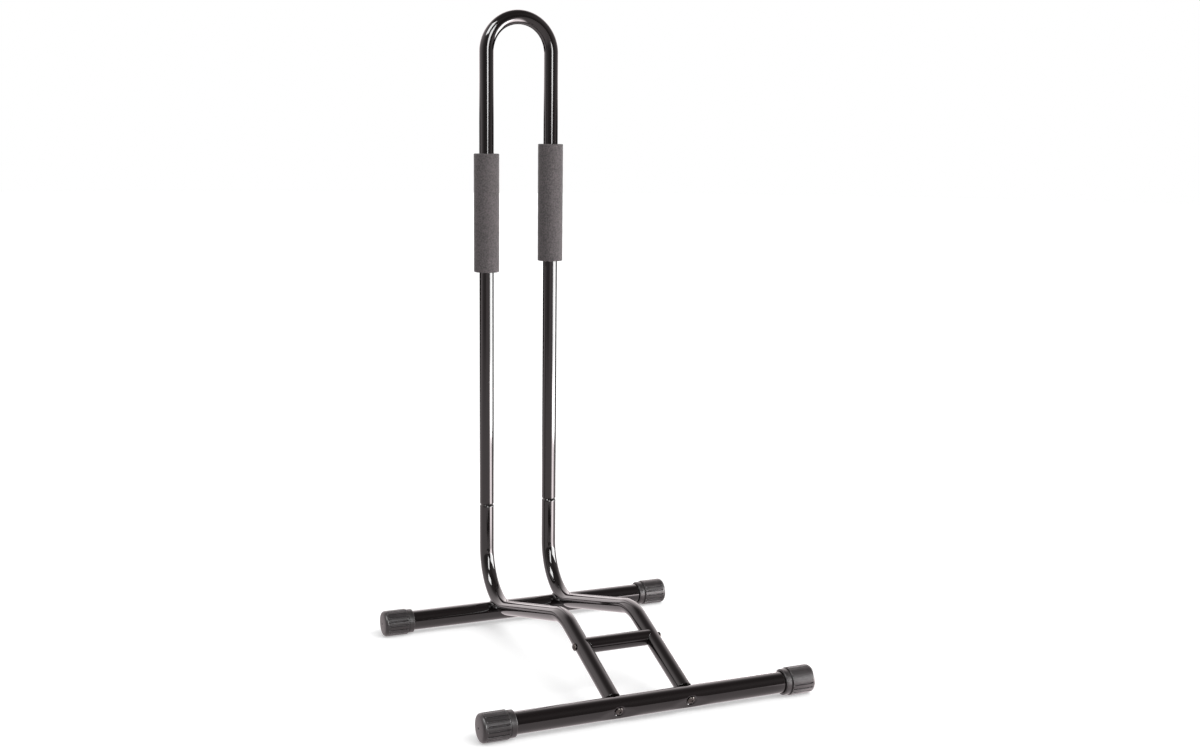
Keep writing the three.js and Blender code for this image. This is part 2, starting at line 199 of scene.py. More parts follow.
class RackFinishes(bpy.types.PropertyGroup):
    """Colours of the finishes."""

    paint: colour_property("Paint", "Gloss black powder coat", "#0e0909")
    foam: colour_property("Foam", "Grey closed-cell foam rubber", "#4a4445")
    cap: colour_property("Caps", "Dark grey moulded polypropylene", "#231f20")
    black_steel: colour_property("Screws", "Black oxide steel", "#4b4745")
    zinc: colour_property("Inserts", "Zinc plated steel", "#c3c1bd")


class RackStudio(bpy.types.PropertyGroup):
    """Camera, lamps and floor."""

    camera_place: bpy.props.FloatVectorProperty(
        name="Camera",
        description="Place of the camera",
        default=(-0.75729, -1.74574, 0.66508),
        size=3,
        subtype="TRANSLATION",
        unit="LENGTH",
    )
    camera_turn: angle_property("Turn", "How far the camera looks to the right of +Y", 24.168)
    camera_fall: angle_property("Fall", "How far the camera looks down", 9.098)
    camera_roll: angle_property("Roll", "How far the camera leans", 0.611)
    lens: bpy.props.FloatProperty(
        name="Lens", description="Focal length on a 36 mm wide sensor", default=46.92, min=1.0
    )
    ambient: strength_property("Ambient", "Light from all round on the object", 0.6)
    sun: strength_property("Sun", "Soft light from above and the camera's right", 1.9)
    strip: strength_property("Softboxes", "Radiance of the softboxes, seen in gloss only", 18.0)
    pool: strength_property("Pool", "Radiance of the pool on the table, in gloss only", 16.0)
    table: strength_property("Table", "Radiance of the white table, in gloss only", 1.2)
    backdrop: strength_property("Backdrop", "Radiance of the backdrop, in gloss only", 2.4)
    wall: strength_property("Wall", "Radiance of the side wall, in gloss only", 1.5)
    room: strength_property("Room", "Radiance of the room behind the camera, in gloss only", 0.25)
    wall_tint: colour_property("Wall tint", "Warm white of the walls, in gloss only", "#fff5f6")
    table_tint: colour_property("Table tint", "Warm white of the table, in gloss only", "#fff3f5")
    floor: colour_property("Floor", "Pale painted floor", "#e6e6e6")
    floor_lift: strength_property("Floor lift", "Glow that lifts the floor to white", 0.38)


# ---------------------------------------------------------------- surfaces


def around(count):
    """Even angles round a full turn: 2 pi i / count."""
    return 2 * np.pi * np.arange(count) / count


def unit(vector):
    """The vector divided by its length."""
    return vector / np.linalg.norm(vector)


def smooth_step(value, start, end):
    """0 before start, 1 after end, and 3t^2 - 2t^3 between them. start may be the larger one."""
    t = np.clip((value - start) / (end - start), 0, 1)
    return t * t * (3 - 2 * t)


def smooth_min(a, b, blend):
    """The smaller of a and b, with the corner where they cross rounded over blend:
    min(a, b) - (max(blend - |a - b|, 0) / blend)^2 * blend / 4."""
    share = np.maximum(blend - np.abs(a - b), 0) / blend
    return np.minimum(a, b) - share**2 * blend / 4


def dense_stations(low, high, centres, reach, fine, coarse):
    """Even steps of coarse from low to high, and of fine within reach of each centre."""
    marks = [low, *[c + s * reach for c in sorted(centres) for s in (-1, 1)], high]
    steps = [coarse, *[fine, coarse] * len(centres)]
    parts = [
        np.linspace(a, b, max(2, math.ceil((b - a) / step) + 1))[:-1]
        for a, b, step in zip(marks, marks[1:], steps)
    ]
    return np.concatenate([*parts, [high]])


def bent_route(corners, radii, run_steps, turn_step=math.radians(3)):
    """Stations along straight runs joined by round bends: points, unit tangents, and a bend weight.
    A bend of radius r and turn a starts r tan(a / 2) before its corner, and follows
    start + r (sin t * forwards + (1 - cos t) * inwards). The weight is sin(pi t / a)^2 in a bend
    and 0 on a run. Where one bend follows another, there is no run between them."""
    corners = [np.asarray(c, float) for c in corners]
    points, tangents, weights = [], [], []
    start = corners[0]

    def add(p, t, w):
        points.append(p)
        tangents.append(np.broadcast_to(t, p.shape))
        weights.append(np.broadcast_to(w, len(p)))

    def add_run(end, step, last=False):
        if np.linalg.norm(end - start) < 1e-6:
            return
        count = max(1, math.ceil(np.linalg.norm(end - start) / step))
        share = np.linspace(0, 1, count + 1)[: None if last else -1, None]
        add(start + share * (end - start), unit(end - start), 0.0)

    turns = zip(corners, corners[1:], corners[2:], radii, run_steps)
    for before, corner, after, radius, step in turns:
        forwards, onwards = unit(corner - before), unit(after - corner)
        turn = math.acos(np.clip(forwards @ onwards, -1, 1))
        bend_start = corner - radius * math.tan(turn / 2) * forwards
        add_run(bend_start, step)
        inwards = unit(onwards - (forwards @ onwards) * forwards)
        t = np.linspace(0, turn, max(3, math.ceil(turn / turn_step) + 1))[:, None]
        arc = bend_start + radius * (np.sin(t) * forwards + (1 - np.cos(t)) * inwards)
        along = np.cos(t) * forwards + np.sin(t) * inwards
        add(arc[:-1], along[:-1], np.sin(np.pi * t[:-1, 0] / turn) ** 2)
        start = arc[-1]
    add_run(corners[-1], run_steps[-1], last=True)
    return np.concatenate(points), np.concatenate(tangents), np.concatenate(weights)


def carry_ring(points, tangents, side, radii, angles):
    """A ring carried along a route that lies in one plane: point + r_in cos(a) across
    + r_out sin(a) side, where side is the plane's normal and across is side x tangent."""
    across = np.cross(side, tangents)
    inner, outer = radii
    return (
        points[:, None]
        + inner[:, None, None] * np.cos(angles)[None, :, None] * across[:, None]
        + outer[:, None, None] * np.sin(angles)[None, :, None] * np.asarray(side, float)
    )


def lip(edge, steps=4):
    """A rounded edge, as distances in from the end face and in from the wall: a quarter circle,
    edge (1 - cos t) and edge (1 - sin t)."""
    t = np.linspace(0, np.pi / 2, steps)
    return edge * (1 - np.cos(t)), edge * (1 - np.sin(t))


def long_lip(edge):
    """A rounded edge with two more rings behind it, so that its turn doesn't shade the long run."""
    setback, inset = lip(edge)
    return np.append(setback, [1.5 * MM, 6 * MM]), np.append(inset, [0, 0])


def tube_wall(route, side, outer, bore, edge, flattening, sides=96):
    """The wall of a bent tube, open at both ends: its outside there and its bore back, joined by
    rounded end faces. In a bend the outside narrows in the bend's plane and widens across it."""
    points, tangents, weights = route
    setback, inset = long_lip(edge)
    start = points[0] + setback[:, None] * tangents[0]
    end = points[-1] - setback[::-1, None] * tangents[-1]
    body = slice(1, -1)
    centres = np.concatenate([start, points[body], end, end[::-1], points[body][::-1], start[::-1]])
    first, last = (np.tile(tangents[i], (len(inset), 1)) for i in (0, -1))
    along = np.concatenate([first, tangents[body], last])
    along = np.concatenate([along, along[::-1]])
    run = np.ones(len(points) - 2)
    bend = np.concatenate([0 * inset, weights[body], 0 * inset])
    outside = np.concatenate([outer - inset, outer * run, outer - inset[::-1]])
    inside = np.concatenate([bore + inset, bore * run, bore + inset[::-1]])
    pinch = 1 - flattening * bend
    narrow = np.concatenate([outside * pinch, inside * pinch[::-1]])
    wide = np.concatenate([outside * (1 + flattening / 2 * bend), inside])
    return carry_ring(centres, along, side, (narrow, wide), around(sides))


def revolve(radii, heights, angles):
    """A profile turned round +Z: (r cos a, r sin a, h). radii may be (rows,) or (rows, angles)."""
    radii = np.asarray(radii, float)
    if radii.ndim == 1:
        radii = radii[:, None] * np.ones(len(angles))
    heights = np.broadcast_to(np.asarray(heights, float)[:, None], radii.shape)
    return np.stack([radii * np.cos(angles), radii * np.sin(angles), heights], axis=-1)


def rounded_profile(corners, radii, run_steps):
    """A profile in radius and height with a fillet at each inner corner, as two arrays."""
    points, _, _ = bent_route([(r, h, 0) for r, h in corners], radii, run_steps, math.radians(15))
    return points[:, 0], points[:, 1]


def place_along(grid, axis, origin):
    """Turns a shape made round +Z so that +Z points along axis, and moves it to origin."""
    axis = unit(np.asarray(axis, float))
    helper = np.array([1.0, 0, 0]) if abs(axis[0]) < 0.9 else np.array([0, 1.0, 0])
    second = unit(np.cross(axis, helper))
    first = np.cross(second, axis)
    return grid @ np.stack([first, second, axis]) + np.asarray(origin, float)


# ---------------------------------------------------------------- meshes and pieces


def grid_faces(rows, columns, closed):
    """Quads between neighbouring rows of a grid. Its columns wrap, and its rows if closed."""
    index = np.arange(rows * columns).reshape(rows, columns)
    here, there = (index, np.roll(index, -1, 0)) if closed else (index[:-1], index[1:])
    quads = [here, np.roll(here, -1, 1), np.roll(there, -1, 1), there]
    return np.stack(quads, -1).reshape(-1, 4)


def enclosed_volume(points, quads):
    """Six times the signed volume: the sum of a . (b x c) + a . (c x d) over the quads."""
    a, b, c, d = (points[quads[:, k]] for k in range(4))
    return np.einsum("ij,ij->", a, np.cross(b, c)) + np.einsum("ij,ij->", a, np.cross(c, d))


def surface(name, grid, closed=True, sharp=math.radians(40)):
    """A mesh object from a grid of points. Its faces point outwards, and rows that shrink to a
    point are merged into one."""
    rows, columns = grid.shape[:2]
    points = grid.reshape(-1, 3)
    quads = grid_faces(rows, columns, closed)
    if enclosed_volume(points - points.mean(0), quads) < 0:
        quads = quads[:, ::-1]
    first = np.arange(len(points))
    for row in range(rows):
        if np.ptp(grid[row], axis=0).max() < 1e-7:
            first[row * columns : (row + 1) * columns] = row * columns
    quads = first[quads]
    kept, packed = np.unique(quads, return_inverse=True)
    quads = packed.reshape(quads.shape)
    faces = [list(dict.fromkeys(face)) for face in quads.tolist()]
    mesh = bpy.data.meshes.new(name)
    mesh.from_pydata(points[kept].tolist(), [], [face for face in faces if len(face) > 2])
    mesh.shade_smooth()
    mesh.set_sharp_from_angle(angle=sharp)
    return link(name, mesh)


def link(name, data):
    """A new object in the scene."""
    piece = bpy.data.objects.new(name, data)
    bpy.context.scene.collection.objects.link(piece)
    return piece


def stand(piece, axes, place):
    """Turns an object so that its X, Y and Z point along three directions, and moves it."""
    matrix = np.eye(4)
    matrix[:3, :3], matrix[:3, 3] = np.stack(axes, 1), place
    piece.matrix_world = Matrix(matrix.tolist())


def dress(piece, material, slot, body, *nodes):
    """Gives a piece its finish and body, and lets it stand for its solids."""
    piece.data.materials.append(material)
    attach(piece, body)
    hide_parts(*nodes)
    return piece


# ---------------------------------------------------------------- materials


def add_node(tree, kind, inputs=(), **settings):
    """Adds a shader node and makes its settings. Its inputs are values, sockets, or nodes that
    give their first output, in order or by name or number."""
    made = tree.nodes.new(f"ShaderNode{kind}")
    for name, value in settings.items():
        setattr(made, name, value)
    for key, value in (inputs if isinstance(inputs, dict) else dict(enumerate(inputs))).items():
        socket = made.inputs[key]
        if isinstance(value, bpy.types.Node):
            value = value.outputs[0]
        if isinstance(value, bpy.types.NodeSocket):
            tree.links.new(value, socket)
        else:
            socket.default_value = value
    return made


def empty_tree(owner, kind):
    """Clears the nodes of a material or world. Returns the tree and its output's socket."""
    owner.use_nodes = True
    owner.node_tree.nodes.clear()
    return owner.node_tree, add_node(owner.node_tree, f"Output{kind}").inputs["Surface"]


def finish(make):
    """Makes a finish the first time it is asked for, named as its function, and then finds it. The
    function gets a way to add nodes and the place on the object, and returns the shader."""

    @wraps(make)
    def found_or_made():
        name = make.__name__
        if name not in bpy.data.materials:
            tree, surface = empty_tree(bpy.data.materials.new(name), "Material")
            add = partial(add_node, tree)
            shader = make(add, add("TexCoord").outputs["Object"])
            tree.links.new(shader.outputs["BSDF"], surface)
        return bpy.data.materials[name]

    return found_or_made


def shades(colour, dark, light):
    """A Mix node's two colours: a colour times its dark and its light share, with full alpha."""
    return {
        socket: [min(1.0, c * share) for c in colour[:3]] + [1.0]
        for socket, share in ((6, dark), (7, light))
    }


@finish
def gloss_black_powder_coat(add, place):
    """Polyester powder baked on steel tube. It melts into a hard gloss skin with a slight orange
    peel, waves about 3 mm long and a few microns high, and small specks of dust under the gloss."""
    colour = bpy.context.scene.rack_finishes.paint
    peel = add("TexNoise", {"Vector": place, "Scale": 330.0, "Detail": 2.0})
    grit = add("TexNoise", {"Vector": place, "Scale": 2600.0, "Detail": 1.0})
    cloud = add("TexNoise", {"Vector": place, "Scale": 26.0, "Detail": 3.0})
    tone = add("Mix", {0: cloud, **shades(colour, 0.8, 1.25)}, data_type="RGBA")
    fine = add("Bump", {"Height": grit, "Strength": 0.02, "Distance": 0.03 * MM})
    skin = add("Bump", {"Height": peel, "Strength": 0.06, "Distance": 0.06 * MM, "Normal": fine})
    return add(
        "BsdfPrincipled",
        {
            "Base Color": tone.outputs[2],
            "Roughness": add("MapRange", (cloud, 0.3, 0.7, 0.06, 0.09)),
            "IOR": 1.52,
            "Normal": skin,
        },
    )


@finish
def closed_cell_foam_rubber(add, place):
    """Extruded closed-cell foam rubber. Cut bubbles about 0.7 mm wide make it matt and finely
    pocked, with painted shade darkening the low spots of its grain and painted light on the high
    ones, and cloudy patches where hands and tyres have rubbed it. Its fibres shine at a flat angle."""
    colour = bpy.context.scene.rack_finishes.foam
    cells = add("TexVoronoi", {"Vector": place, "Scale": 1400.0})
    grain = add("TexNoise", {"Vector": place, "Scale": 480.0, "Detail": 3.0})
    cloud = add("TexNoise", {"Vector": place, "Scale": 60.0, "Detail": 5.0})
    pits = add("Bump", {"Height": cells, "Strength": 0.7, "Distance": 0.3 * MM})
    skin = add("Bump", {"Height": grain, "Strength": 0.8, "Distance": 0.4 * MM, "Normal": pits})
    # The grain that raises the bump also sets this mask: the specks colour is painted shade in its
    # low spots and painted light on its high spots.
    worn, pit_shade_mask = add("MapRange", (cloud, 0.3, 0.7)), add("MapRange", (grain, 0.35, 0.65))
    patches = add("Mix", {0: worn, **shades(colour, 0.7, 1.3)}, data_type="RGBA").outputs[2]
    specks = add("Mix", {0: pit_shade_mask, **shades(colour, 0.35, 1.65)}, data_type="RGBA").outputs[2]
    tone = add("Mix", {0: 0.6, 6: patches, 7: specks}, data_type="RGBA")
    return add(
        "BsdfPrincipled",
        {
            "Base Color": tone.outputs[2],
            "Roughness": 0.8,
            "IOR": 1.45,
            "Sheen Weight": 0.35,
            "Sheen Roughness": 0.35,
            "Normal": skin,
        },
    )


@finish
def moulded_polypropylene(add, place):
    """Dark grey polypropylene from a spark-eroded mould: a matt grain about 0.4 mm wide, a soft
    sheen, and paler scuffs."""
    colour = bpy.context.scene.rack_finishes.cap
    grain = add("TexNoise", {"Vector": place, "Scale": 2100.0, "Detail": 2.0})
    cloud = add("TexNoise", {"Vector": place, "Scale": 110.0, "Detail": 5.0})
    scuffs = add("MapRange", (cloud, 0.42, 0.72))
    tone = add("Mix", {0: scuffs, **shades(colour, 0.9, 1.35)}, data_type="RGBA")
    return add(
        "BsdfPrincipled",
        {
            "Base Color": tone.outputs[2],
            "Roughness": add("MapRange", (grain, 0.3, 0.7, 0.32, 0.46)),
            "IOR": 1.49,
            "Normal": add("Bump", {"Height": grain, "Strength": 0.5, "Distance": 0.08 * MM}),
        },
    )


def turned_steel(add, place, colour, smoothest, roughest):
    """Cold headed and turned steel. Fine tool marks about 0.1 mm apart blur what it mirrors, and
    the plating is uneven in patches."""
    marks = add("TexNoise", {"Vector": place, "Scale": 4200.0, "Detail": 2.0})
    cloud = add("TexNoise", {"Vector": place, "Scale": 400.0, "Detail": 3.0})
    tone = add("Mix", {0: cloud, **shades(colour, 0.7, 1.2)}, data_type="RGBA")
    return add(
        "BsdfPrincipled",
        {
            "Base Color": tone.outputs[2],
            "Metallic": 1.0,
            "Roughness": add("MapRange", (cloud, 0.3, 0.7, smoothest, roughest)),
            "Normal": add("Bump", {"Height": marks, "Strength": 0.3, "Distance": 0.03 * MM}),
        },
    )


@finish
def black_oxide_steel(add, place):
    """Steel blackened in a hot salt bath and oiled, which leaves it smooth."""
    return turned_steel(add, place, bpy.context.scene.rack_finishes.black_steel, 0.2, 0.3)


@finish
def zinc_plated_steel(add, place):
    """Steel with a thin bright coat of zinc, a little cloudy."""
    return turned_steel(add, place, bpy.context.scene.rack_finishes.zinc, 0.3, 0.45)


# ---------------------------------------------------------------- where things are


def tubes():
    """The sizes of the tubes, as set in the scene."""
    return bpy.context.scene.rack_tubes


def fittings():
    """The sizes of the sleeves, screws and caps, as set in the scene."""
    return bpy.context.scene.rack_fittings


def drop_line():
    """The front end of the dropping run's centre line, its direction, and the direction across it
    in the plane x = 0, with the front foot's axis."""
    t = tubes()
    axis = box_centre("front_foot") * [0, 1, 1]
    ahead = np.array([0, -math.cos(t.drop_angle), -math.sin(t.drop_angle)])
    up = np.array([0, -math.sin(t.drop_angle), math.cos(t.drop_angle)])
    return axis, axis + t.end_rise * math.cos(t.drop_angle) * up, ahead, up


def surface_reach():
    """How far from the dropping run's end a front screw's axis leaves the front foot."""
    t = tubes()
    return math.sqrt((t.foot_diameter / 2) ** 2 - (t.end_rise * math.cos(t.drop_angle)) ** 2)


def heel_circle():
    """The middle of the heel bend's centre line, in the plane x = 0."""
    t = tubes()
    reach = t.heel_radius + t.foot_diameter / 2 + t.tube_diameter / 2 - t.saddle_depth
    back = np.array([0, math.sin(t.saddle_angle), -math.cos(t.saddle_angle)])
    return box_centre("rear_foot") * [0, 1, 1] - np.array([0, 0, press_shift()]) - reach * back


def press_shift():
    """The rear foot's solid is pressed in at its top, so its box may be off its axis."""
    return float(box_centre("rear_foot")[2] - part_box("rear_foot")[0][2] - tubes().foot_diameter / 2)


def shoulder_height():
    """The height of a lower tube's shoulder, under the hoop's mouth and the narrowing."""
    t = tubes()
    return float(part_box("upper_hoop")[0][2]) - t.gap - t.swage_length


def lower_route(x):
    """The centre line of a lower tube, from its shoulder round the heel and over the wide bend
    to its front end."""
    t = tubes()
    heel = heel_circle()
    upright = heel[1] + t.heel_radius
    slope = math.tan(t.rise_angle)
    corner_z = heel[2] - t.heel_radius * (1 / math.cos(t.rise_angle) + slope)
    axis, end, _, _ = drop_line()
    end_z = axis[2] + t.end_rise
    run = upright - axis[1]
    hump_y = (corner_z + run * slope - end_z) / (slope + math.tan(t.drop_angle))
    hump_z = end_z + hump_y * math.tan(t.drop_angle)
    corners = [
        (x, upright, shoulder_height()),
        (x, upright, corner_z),
        (x, axis[1] + hump_y, hump_z),
        (x, end[1], end[2]),
    ]
    return corners, [t.heel_radius, t.hump_radius]


# ---------------------------------------------------------------- operators


class RACK_OT_hoop(bpy.types.Operator):
    """Bends the tall hoop out of one tube"""

    bl_idname = "rack.hoop"
    bl_label = "Hoop"

    def execute(self, context):
        t = tubes()
        low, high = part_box("upper_hoop")
        half = t.leg_spacing / 2
        depth = box_centre("upper_hoop")[1]
        top = high[2] - t.tube_diameter / 2
        ends = ((-half, low[2]), (-half, top), (half, top), (half, low[2]))
        corners = [(x, depth, z) for x, z in ends]
        route = bent_route(corners, [half, half], [20 * MM] * 3)
        outer = t.tube_diameter / 2
        grid = tube_wall(route, (0, 1, 0), outer, outer - t.wall, t.tube_edge, t.flattening)
        hoop = surface("hoop_tube", grid)
        dress(hoop, gloss_black_powder_coat(), "black_paint", "hoop", "upper_hoop")
        return {"FINISHED"}


class RACK_OT_sleeves(bpy.types.Operator):
    """Cuts the two foam sleeves on the hoop's legs"""

    bl_idname = "rack.sleeves"
    bl_label = "Foam sleeves"

    def execute(self, context):
        f = fittings()
        for side in SIDES:
            node = f"foam_sleeve_{side}"
            low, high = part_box(node)
            length = high[2] - low[2]
            outer = f.sleeve_diameter / 2
            bore = tubes().tube_diameter / 2 + tubes().gap
            setback, inset = lip(f.sleeve_edge, 6)
            hole_setback, hole_inset = lip(0.4 * f.sleeve_edge, 3)
            middle = np.linspace(2 * f.sleeve_edge, length - 2 * f.sleeve_edge, 60)
            heights = np.concatenate(
                [setback, middle, length - setback[::-1], length - hole_setback, hole_setback[::-1]]
            )
            hole = bore + hole_inset
            skin = outer - inset
            radii = np.concatenate([skin, outer + 0 * middle, skin[::-1], hole, hole[::-1]])
            angles = around(120)
            # Foam is never quite round: shallow waves 40 mm long, a tenth of a millimetre high.
            wave = np.sin(heights[:, None] / (6.4 * MM) + 2 * angles + SIDES[side])
            swell = np.where(radii[:, None] > (outer + bore) / 2, 0.1 * MM * wave, 0)
            grid = revolve(radii[:, None] - np.abs(swell), heights, angles)
            centre = box_centre(node)
            grid = grid + [centre[0], centre[1], low[2]]
            sleeve = surface(f"foam_{side}", grid)
            dress(sleeve, closed_cell_foam_rubber(), "grey_foam", "hoop", node)
        return {"FINISHED"}


class RACK_OT_lower_tubes(bpy.types.Operator):
    """Bends the two lower tubes, with their spigots and coped front ends"""

    bl_idname = "rack.lower_tubes"
    bl_label = "Lower tubes"

    def execute(self, context):
        for side, sign in SIDES.items():
            grid = self.wall(sign * tubes().leg_spacing / 2)
            tube = surface(f"lower_tube_skin_{side}", grid)
            dress(tube, gloss_black_powder_coat(), "black_paint", "base", f"lower_tube_{side}")
        return {"FINISHED"}

    def wall(self, x):
        """Rows from the spigot's tip down the outside to the front end, and back up the bore. Each
        point of an end ring stops on the hollow cut, a cylinder that touches the front foot in its
        middle: sqrt(R^2 - (e - c)^2) - a before the foot's axis, for a point e above that axis."""
        t = tubes()
        outer, bore = t.tube_diameter / 2, t.tube_diameter / 2 - t.wall
        corners, radii = lower_route(x)
        points, tangents, weights = bent_route(corners, radii, [20 * MM, 12 * MM, 20 * MM])
        axis, end, ahead, up = drop_line()
        spigot_r = bore - t.gap
        spigot_rows = [
            (t.swage_length + t.spigot_length, spigot_r - 0.75 * MM),
            (t.swage_length + t.spigot_length - 0.3 * MM, spigot_r - 0.4 * MM),
            (t.swage_length + t.spigot_length - 1.5 * MM, spigot_r),
            (t.swage_length + 0.4 * MM, spigot_r),
            (t.swage_length, spigot_r + 0.06 * MM),
            (0.75 * t.swage_length, spigot_r + 0.25 * (outer - spigot_r)),
            (0.35 * t.swage_length, spigot_r + 0.8 * (outer - spigot_r)),
            (0.12 * t.swage_length, spigot_r + 0.97 * (outer - spigot_r)),
        ]
        spigot_bore = spigot_r - t.wall
        bore_rows = [(t.swage_length, spigot_bore), (t.swage_length + t.spigot_length, spigot_bore)]
        rise = np.array([0, 0, 1.0])
        spigot = points[0] + np.array([h for h, _ in spigot_rows])[:, None] * rise
        hollow = points[0] + np.array([h for h, _ in bore_rows])[:, None] * rise
        angles = around(96)
        side = (1, 0, 0)

        def rings(centres, directions, radius, bend):
            pinch = t.flattening * bend
            both = radius * (1 - pinch), radius * (1 + pinch / 2)
            return carry_ring(centres, directions, side, both, angles)

        def upright_rings(centres, rows):
            directions = np.broadcast_to(-rise, centres.shape)
            return rings(centres, directions, np.array([r for _, r in rows]), np.zeros(len(rows)))

        points = np.insert(points, 1, points[0] - 1.2 * MM * rise, 0)
        tangents, weights = np.insert(tangents, 1, -rise, 0), np.insert(weights, 1, 0)
        full = np.ones(len(points) - 1)
        skin = rings(points[:-1], tangents[:-1], outer * full, weights[:-1])
        lining = rings(points[:-1], tangents[:-1], bore * full, weights[:-1])
        cut = t.end_cut_radius + t.gap
        share = (t.end_cut_radius - t.foot_diameter / 2) / (t.foot_diameter / 2)
        cut_ahead, cut_below = share * surface_reach(), share * (end - axis) @ up
        coped = []
        setback, inset = long_lip(t.tube_edge)
        for radius, order in ((outer - inset, slice(None, None, -1)), (bore + inset, slice(None))):
            ends, ways = (np.tile(v, (len(radius), 1)) for v in (points[-1], tangents[-1]))
            rows = carry_ring(ends, ways, side, (radius, radius), angles)
            height = (rows - axis) @ up
            back = np.sqrt(cut**2 - (height + cut_below) ** 2) - cut_ahead
            rows = rows - (back + setback[:, None])[..., None] * ahead
            coped.append(rows[order])
        top, tip = upright_rings(spigot, spigot_rows), upright_rings(hollow, bore_rows)
        return np.concatenate([top, skin, *coped, lining[::-1], tip])


class RACK_OT_feet(bpy.types.Operator):
    """Presses the two feet: the rear one under the lower tubes, the front one round its screws"""

    bl_idname = "rack.feet"
    bl_label = "Feet"

    def execute(self, context):
        t = tubes()
        half = t.leg_spacing / 2
        for node, pressed, reach, fine, coarse in (
            ("rear_foot", self.saddle, 16 * MM, 0.6 * MM, 9 * MM),
            ("front_foot", self.scallop, 10 * MM, 0.4 * MM, 4 * MM),
        ):
            low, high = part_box(node)
            first, last = low[0] + t.tube_edge, high[0] - t.tube_edge
            x = dense_stations(first, last, (-half, half), reach, fine, coarse)
            angles = around(240)
            centre = np.array([0, box_centre(node)[1], low[2] + t.foot_diameter / 2])
            near = np.where(x[:, None] < 0, x[:, None] + half, x[:, None] - half)
            angle = np.broadcast_to(angles, (len(x), len(angles)))
            setback, inset = lip(t.tube_edge)
            walls = []
            for depth, inwards in ((0, 1), (t.wall, -1)):
                wall = pressed(near, angle, centre, t.foot_diameter / 2 - depth, depth)
                rim = inwards * inset[:-1, None]
                wall = np.concatenate([wall[0] - rim, wall, wall[-1] - rim[::-1]])
                walls.append(wall[::inwards])
            rim_x = np.concatenate([low[0] + setback[:-1], x, high[0] - setback[-2::-1]])
            stations = np.concatenate([rim_x, rim_x[::-1]])[:, None] * np.ones(len(angles))
            radii = np.concatenate(walls)
            grid = np.stack([stations, radii * np.cos(angles), radii * np.sin(angles)], -1) + centre
            foot = surface(f"{node}_tube", grid)
            dress(foot, gloss_black_powder_coat(), "black_paint", "base", node)
        return {"FINISHED"}

    def saddle(self, near, angle, centre, radius, growth):
        """The foot's radius, or the way out to the heel bend's skin where that is nearer. The skin
        is at hypot(hypot(y, z) - bend radius, x) = tube radius + gap, and is found by halving."""
        t = tubes()
        heel = heel_circle()
        skin = t.tube_diameter / 2 + t.gap + growth
        low, high = np.full(angle.shape, 4 * MM), np.full(angle.shape, 20 * MM)
        for _ in range(24):
            middle = (low + high) / 2
            y = centre[1] + middle * np.cos(angle) - heel[1]
            z = centre[2] + middle * np.sin(angle) - heel[2]
            outside = np.hypot(np.hypot(y, z) - t.heel_radius, near) > skin
            low, high = np.where(outside, middle, low), np.where(outside, high, middle)
        return smooth_min(np.full(angle.shape, radius), high, 1.2 * MM)

    def scallop(self, near, angle, centre, radius, growth):
        """The foot's radius, pressed in by a wide roller and a round punch that both point along
        the dropping run. The roller's face is at reach - depth + R - sqrt(R^2 - x^2) along it."""
        t = tubes()
        _, end, ahead, up = drop_line()
        facing = math.atan2(ahead[2], ahead[1])
        along = np.cos(angle - facing)
        reach = surface_reach()
        roller = (t.scallop_length**2 / 4 + t.scallop_depth**2) / (2 * t.scallop_depth)
        near_roller = np.minimum(np.abs(near), 0.6 * roller)
        face = reach - t.scallop_depth + roller - np.sqrt((roller + growth) ** 2 - near_roller**2)
        away = np.where(along > 0.05, face / np.maximum(along, 0.05), 1.0)
        pressed = smooth_min(np.full(angle.shape, radius), away, 0.8 * MM)
        seat = np.minimum((reach - t.seat_depth - growth) / np.maximum(along, 0.05), pressed)
        across = pressed * (np.cos(angle) * up[1] + np.sin(angle) * up[2]) - (end - centre) @ up
        off = np.hypot(near, across)
        share = smooth_step(off, t.seat_diameter / 2 + 0.8 * MM, t.seat_diameter / 2 - 1.2 * MM)
        return np.where(along > 0.05, pressed + (seat - pressed) * share, pressed)


